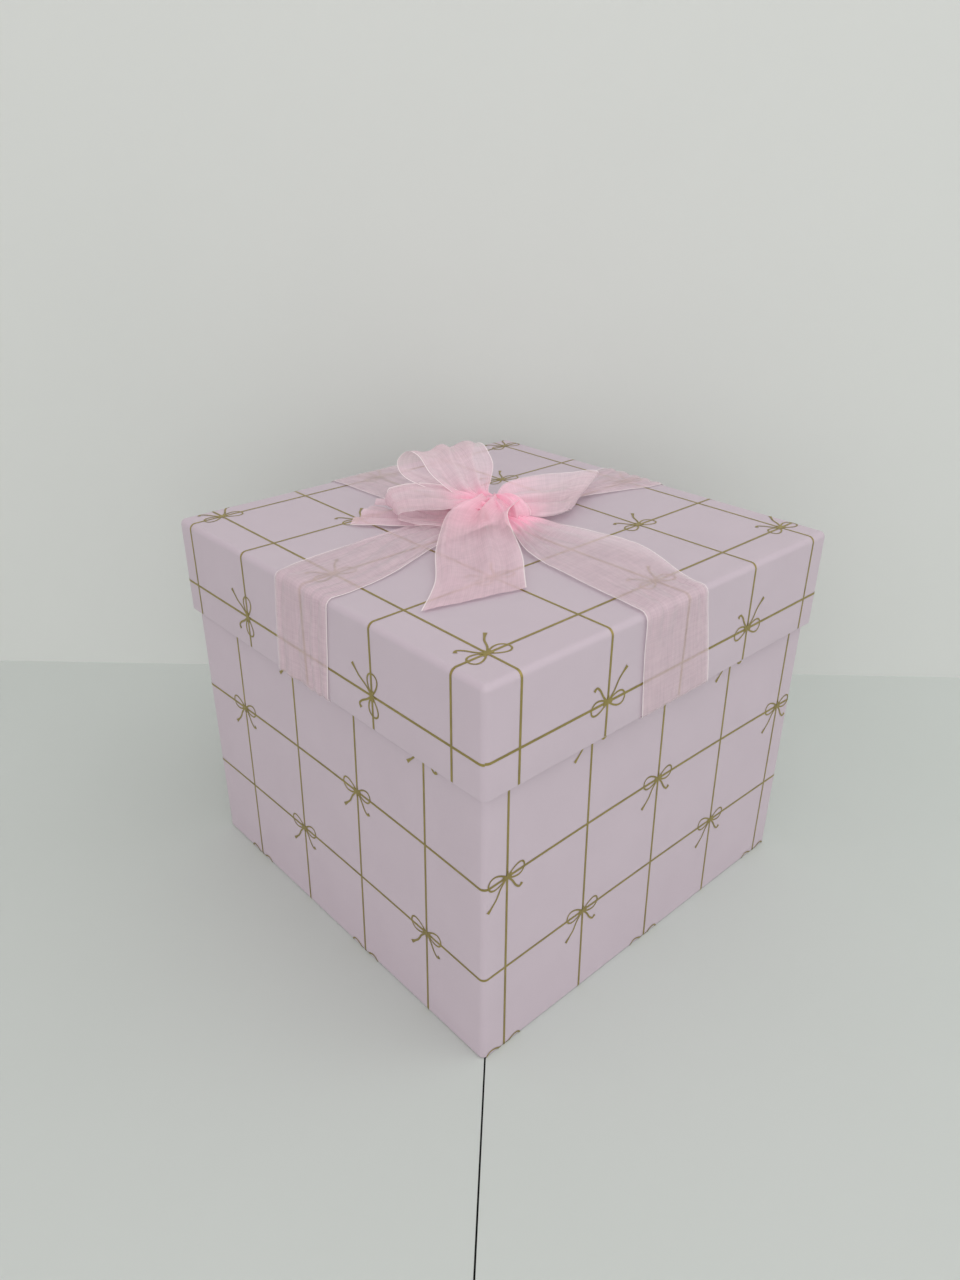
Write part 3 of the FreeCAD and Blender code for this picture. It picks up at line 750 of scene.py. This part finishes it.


# Lays ribbon between two edge lines, given in mm. Where they run closer together than the ribbon
# is wide, some of the spare width goes into folds. The cloth is then set down by place(point, out,
# height), where out is the way that the folds stand up.
# The last argument sets a least gather for the whole piece: a deeper pink, denser cloth and painted glow.
def layRibbon(name, left, right, place, seed, flatLength, oneWay=False, calm=0.0,
              toneAndGlow=0.0):
    longest = max(sum((b - a).length for a, b in zip(line, line[1:]))
                  for line in ([Vector(p) for p in left], [Vector(p) for p in right]))
    rows = max(int(longest / ribbon["rowStep"]), ribbon["fewestRows"])
    leftLine, rightLine = smoothPath(left, rows), smoothPath(right, rows)
    columns, width, size = ribbon["columns"], ribbon["width"], ribbon["crinkleSize"]
    fineAcross, fineAlong = ribbon["fineCrinkle"]
    vertices, gathers, lengths = [], [], [0.0]
    for r in range(rows + 1):
        a, b = leftLine[r], rightLine[r]
        middle = (a + b) / 2
        before, after = max(r - 1, 0), min(r + 1, rows)
        along = leftLine[after] + rightLine[after] - leftLine[before] - rightLine[before]
        out = along.normalized().cross(a - b).normalized() if not oneWay else Vector((0, 0, 1))
        if r:
            lengths.append(lengths[-1] + (middle - (leftLine[r - 1] + rightLine[r - 1]) / 2).length)
        now = (b - a).length
        spare = min(max(width / max(now, ribbon["narrowest"]), 1.0), ribbon["spareMost"])
        soft = foldDepth(now, ribbon["softFolds"], min(spare, ribbon["softSpare"]), ribbon["softMost"])
        fine = foldDepth(now, ribbon["pleats"], spare, ribbon["pleatMost"])
        fine *= smoothStep(*ribbon["pleatFrom"], spare)
        tight = smoothStep(*ribbon["tightFrom"], spare)
        tight *= 1 - ribbon["tightLoss"] * smoothStep(*ribbon["tightFade"], middle.length)
        # Near the knot the gather is raised, which draws the bands a deeper pink with painted glow where the
        # bow shades them.
        pinkGlowNearKnot = ribbon["knotPinkAndGlow"] * (1 - smoothStep(*ribbon["knotFade"], middle.length))
        gathers.append(max(tight, pinkGlowNearKnot, toneAndGlow))
        for c in range(columns + 1):
            s = c / columns
            drift = ribbon["drift"] * noise.noise((
                s * ribbon["driftWidth"], lengths[-1] / ribbon["driftMm"], seed))
            softTurn = ribbon["softFolds"] * (s + ribbon["softDrift"] * drift) + seed * ribbon["softPhase"]
            fineTurn = ribbon["pleats"] * (s + drift) + seed * ribbon["finePhase"]
            height = soft * math.sin(2 * math.pi * softTurn) + fine * math.sin(2 * math.pi * fineTurn)
            edge = smoothStep(0, ribbon["edgeShare"], min(s, 1 - s))
            height *= ribbon["edgeDepth"] + (1 - ribbon["edgeDepth"]) * edge
            height += ribbon["crinkle"] * (1 - calm) * (
                noise.noise((s * width / size, lengths[-1] / size * ribbon["crinkleLong"], seed + 3))
                * ribbon["crinkleBroad"]
                + noise.noise((s * width / fineAcross, lengths[-1] / fineAlong, seed + 5)))
            if oneWay:
                height = abs(height) * ribbon["lyingHeight"] + ribbon["lyingPleat"] * fine
            vertices.append(place(a.lerp(b, s), out, height))
    faces = []
    for r in range(rows):
        for c in range(columns):
            k = r * (columns + 1) + c
            faces.append((k, k + 1, k + columns + 2, k + columns + 1))
    piece = newPiece(name, vertices, faces, organzaMaterial)
    mesh = piece.data
    layer = mesh.uv_layers.new(name="ribbonMm")
    for loop in mesh.loops:
        r, c = divmod(loop.vertex_index, columns + 1)
        layer.data[loop.index].uv = (width * (c / columns - 0.5), lengths[r])
    gather = mesh.attributes.new("gather", "FLOAT", "POINT")
    for k in range(len(mesh.vertices)):
        gather.data[k].value = gathers[k // (columns + 1)]
    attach(piece, "lid")
    return piece


# Bands lie on the box: their lines are given on the lid's sheet as (along, across, height), from
# the middle of the top outwards, and are folded over the edge with it.
def bandPlace(turned):
    def place(point, out, height):
        u, v = (point.y, point.x) if turned else (point.x, point.y)
        return foldOnLid(u * mm, v * mm, (ribbon["lift"] + point.z + height) * mm)
    return place


# Bow pieces stand on the lid: their lines are in mm from the middle of its top.
def bowPlace(point, out, height):
    return (point + out * height) * mm + Vector((0, 0, lidTop))


sheetReach = (lidHalf + (lidTop - rimBottom)) / mm + boxShape["lidWall"] + ribbon["tuck"]
sheetReach -= boxShape["lidEdge"] * (2 - math.pi / 2)

# the band along X, from the left rim to the right rim
bandX = layRibbon(
    "ribbonBandX",
    [(-sheetReach, -12, 0), (-148, -13, 0), (-125, -15, 0), (-104, -17, 0), (-92, -17, 0),
     (-70, -14, 0.3), (-39, -4, 1.0), (-14, -5, 3.0), (0, -5, 4.0), (14, -6, 3.0), (49, -3, 2.0),
     (72, -5, 0.6), (92, -11, 0), (104, -13, 0), (148, -16, 0), (sheetReach, -17, 0)],
    [(-sheetReach, 25, 0), (-148, 24, 0), (-125, 22, 0), (-104, 20, 0), (-92, 22, 0), (-65, 24, 0),
     (-26, 22, 0.5), (-10, 9, 2.0), (0, 5, 3.0), (10, 9, 2.0), (40, 19, 0.5), (72, 25, 0), (92, 25, 0),
     (104, 25, 0), (148, 22, 0), (sheetReach, 21, 0)],
    bandPlace(False), seed=1.3, flatLength=2 * sheetReach,
    oneWay=True, calm=0.55)

# the band along Y lies over it, from the front rim to the back rim
bandY = layRibbon(
    "ribbonBandY",
    [(-sheetReach, 21, 0), (-148, 21, 0), (-125, 17, 0), (-104, 13, 0), (-92, 14, 0.3), (-62, 22, 2.5),
     (-26, 14, 3.0), (-9, 6, 4.0), (0, 5, 4.5), (9, 6, 4.0), (30, 14, 1.5), (62, 20, 0.5), (92, 21, 0),
     (104, 20, 0), (148, 18, 0), (sheetReach, 18, 0)],
    [(-sheetReach, -21, 0), (-148, -22, 0), (-125, -24, 0), (-104, -25, 0), (-92, -24, 0), (-62, -21, 0.4),
     (-36, -17, 0.8), (-12, -6, 3.5), (0, -5, 4.5), (12, -6, 3.5), (40, -15, 0.8), (62, -18, 0), (92, -19, 0),
     (104, -20, 0), (148, -21, 0), (sheetReach, -21, 0)],
    lambda point, out, height: bandPlace(True)(
        point + Vector((0, 0, ribbon["overUnder"])), out, height),
    seed=4.1, flatLength=2 * sheetReach,
    oneWay=True, calm=0.55)
for piece, node in ((bandX, "ribbon_band_x"), (bandY, "ribbon_band_y")):
    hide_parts(node)
print("bands laid")

bowShapes = {
    "bowLoopBack": {
        "node": "bow_loop_back", "seed": 2.2, "length": 98, "calm": 0.0, "toneAndGlow": 0.0,
        "left": [(-5, 3, 8), (-9, 14, 10), (-11, 24, 13.5), (-12, 34, 18.5), (-12, 42, 24.5), (-15, 47, 26.5),
                 (-20, 48, 22), (-18, 43, 15), (-10, 24, 9), (-5, 7, 6)],
        "right": [(5, 4, 8), (9, 16, 10), (13, 19, 14), (17, 22, 20), (19, 28, 25), (21, 34, 27),
                  (22, 40, 25), (20, 40, 17), (10, 22, 9), (5, 6, 6)]},
    "bowLoopRight": {
        "node": "bow_loop_right", "seed": 5.6, "length": 100, "calm": 0.0, "toneAndGlow": 0.0,
        "left": [(3, 6, 7), (9, 11, 9), (18, 14, 12), (31, 11, 13), (50, 6, 12.5), (64, 3, 12), (70, 2, 9.5),
                 (64, 4, 6), (48, 8, 3.5), (24, 10, 2.5), (3, 5, 4)],
        "right": [(4, -6, 8), (7, -12, 7), (13, -18, 6), (21, -19, 5.5), (29, -16, 5), (31, -15, 3.5),
                  (27, -13, 2.5), (16, -10, 2.5), (8, -7, 3), (3, -4, 4)]},
    "bowLoopLeft": {
        "node": "bow_loop_left", "seed": 8.4, "length": 97, "calm": -1.7, "toneAndGlow": 0.0,
        "left": [(-4, -3, 4), (-20, 6, 2), (-31, 16, 2), (-38, 23, 4), (-39, 24, 7), (-37, 22, 9),
                 (-28, 14, 10), (-17, 6, 10), (-4, -3, 9)],
        "right": [(-2, 6, 4), (-8, 28, 2), (-18, 42, 3), (-26, 47, 6), (-27, 47, 10), (-25, 46, 12),
                  (-16, 39, 14), (-6, 23, 13), (-1, 6, 9)]},
    "bowTailFront": {
        "node": "bow_tail_front", "seed": 3.9, "length": 95, "calm": 0.2, "toneAndGlow": 0.22,
        "left": [(-7, 10, 8), (-8, 7, 11.5), (-13, 7, 11.8), (-24, 7, 9.3), (-47, -12, 5),
                 (-66, -34, 2.5), (-85, -49, 1.2)],
        "right": [(8, 4, 9), (9, 0, 12), (6, -7, 12.4), (-7, -13, 9.5), (-25, -40, 5),
                  (-35, -52, 2), (-42, -60, 1.2)]},
    "bowTailLeft": {
        "node": "bow_tail_left", "seed": 6.7, "length": 63, "calm": 0.2, "toneAndGlow": 0.22,
        "left": [(-4, -3, 3), (-22, 10, 1.6), (-38, 26, 1.3), (-52, 42, 1.3)],
        "right": [(1, 6, 3), (-2, 32, 1.6), (-10, 49, 1.3), (-22, 62, 1.3)]},
    "bowKnot": {
        "node": "bow_knot", "seed": 9.1, "length": 31, "calm": 0.4, "toneAndGlow": 0.3,
        "left": [(-10, -4, 2), (-10.5, -5, 7), (-8.5, -1, 10.5), (-7, 5, 11.2), (-7, 9, 8), (-7, 9, 2)],
        "right": [(8, -11, 2), (9, -11.5, 7), (9, -7.5, 10.7), (8.5, -1, 11.6), (8, 6, 8.5), (7, 7, 2)]},
}
for name, shape in bowShapes.items():
    piece = layRibbon(
        name, shape["left"], shape["right"], bowPlace, seed=shape["seed"], flatLength=shape["length"],
        calm=shape["calm"], toneAndGlow=shape["toneAndGlow"])
    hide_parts(shape["node"])
print("bow tied")


# ---- floor, wall, light and camera

# Matt wall paint or a laminate table top. The wall is clear from its back, so that the box can
# also be looked at from behind it.
def paleMaterial(name, colour, shade, oneSided=False):
    material, tree = newMaterial(name)
    place = addNode(tree, "ShaderNodeTexCoord").outputs["Object"]
    cloud = addNode(tree, "ShaderNodeTexNoise", {"Vector": place, "Scale": perMetre(setting["cloudMm"])})
    mix = addNode(tree, "ShaderNodeMix", {
        "Factor": cloud.outputs["Fac"], 6: hexColour(colour), 7: hexColour(shade)}, data_type="RGBA")
    shader = addNode(tree, "ShaderNodeBsdfPrincipled", {
        "Base Color": mix.outputs[2], "Roughness": setting["roughness"]})
    if oneSided:
        clear = addNode(tree, "ShaderNodeBsdfTransparent")
        side = addNode(tree, "ShaderNodeNewGeometry").outputs["Backfacing"]
        shader = addNode(tree, "ShaderNodeMixShader", {
            0: side, 1: shader.outputs[0], 2: clear.outputs[0]})
    addNode(tree, "ShaderNodeOutputMaterial", {"Surface": shader.outputs[0]})
    return material


# The table has two leaves, which meet in a narrow joint under the box. Sizes in metres unless
# they say otherwise, and turns in degrees.
setting = {
    "wallAway": 0.18, "wallTurn": -44.0, "size": 2.4, "tableTurn": -45.0,
    "jointFrom": 0.5 * mm, "jointTo": 1.2 * mm, "jointDepth": 4 * mm, "cloudMm": 180.0, "roughness": 0.7,
    "table": ("#d2d7d4", "#cdd3cf"), "frame": ("#1c1d1c", "#161716"), "wall": ("#e2e5e2", "#dee1de"),
    "room": "#e9e3e3", "roomStrength": 0.87, "light": "#eaf1ee", "aim": (0, 0, 0.1),
    "lights": {               # place, size and power
        "ceilingPanel": ((0.38, -0.53, 1.9), 1.65, 10.0),
        "windowSide": ((0.9, -0.9, 0.7), 0.9, 1.5),
        "roomBehind": ((-1.0, -1.0, 0.55), 1.2, 5.2)},
    "lens": 26.09, "sensor": 36.0, "nearest": 0.01,
    "cameraAt": (-0.2741, -0.2874, 0.3209), "cameraTurn": (62.73, -0.23, -42.34),
}
wide, away = setting["size"], setting["wallAway"]
jointFrom, jointTo = setting["jointFrom"], setting["jointTo"]
turn = Matrix.Rotation(math.radians(setting["tableTurn"]), 4, "Z")
floor = newPiece("tableTop", [turn @ Vector(p) for p in (
    (-wide, -wide, 0), (jointFrom, -wide, 0), (jointFrom, wide, 0), (-wide, wide, 0),
    (jointTo, -wide, 0), (wide, -wide, 0), (wide, wide, 0), (jointTo, wide, 0))],
    [(0, 1, 2, 3), (4, 5, 6, 7)], paleMaterial("whiteTable", *setting["table"]), smooth=False)
under = newPiece("tableFrame", [turn @ Vector((x, y, -setting["jointDepth"])) for x, y in (
    (-wide, -wide), (wide, -wide), (wide, wide), (-wide, wide))],
    [(0, 1, 2, 3)], paleMaterial("darkTableFrame", *setting["frame"]), smooth=False)
turn = Matrix.Rotation(math.radians(setting["wallTurn"]), 4, "Z")
wall = newPiece("wallBehind", [turn @ Vector(p) for p in (
    (-wide, away, 0), (wide, away, 0), (wide, away, wide), (-wide, away, wide))],
    [(0, 1, 2, 3)], paleMaterial("whiteWall", *setting["wall"], oneSided=True), smooth=False)

world = bpy.data.worlds.new("softRoom")
world.use_nodes = True
background = world.node_tree.nodes["Background"].inputs
background["Color"].default_value = hexColour(setting["room"])
background["Strength"].default_value = setting["roomStrength"]
bpy.context.scene.world = world

for name, (place, size, power) in setting["lights"].items():
    data = bpy.data.lights.new(name, "AREA")
    data.energy, data.size = power, size
    data.color = hexColour(setting["light"])[:3]
    lamp = bpy.data.objects.new(name, data)
    lamp.location = place
    towards = Vector(setting["aim"]) - Vector(place)
    lamp.rotation_euler = towards.to_track_quat("-Z", "Y").to_euler()
    bpy.context.scene.collection.objects.link(lamp)

cameraData = bpy.data.cameras.new("camera")
cameraData.lens, cameraData.sensor_width = setting["lens"], setting["sensor"]
cameraData.clip_start = setting["nearest"]
camera = bpy.data.objects.new("camera", cameraData)
camera.location = setting["cameraAt"]
camera.rotation_euler = [math.radians(angle) for angle in setting["cameraTurn"]]
bpy.context.scene.collection.objects.link(camera)
bpy.context.scene.camera = camera
bpy.context.scene.view_settings.view_transform = "Standard"
print("scene lit")
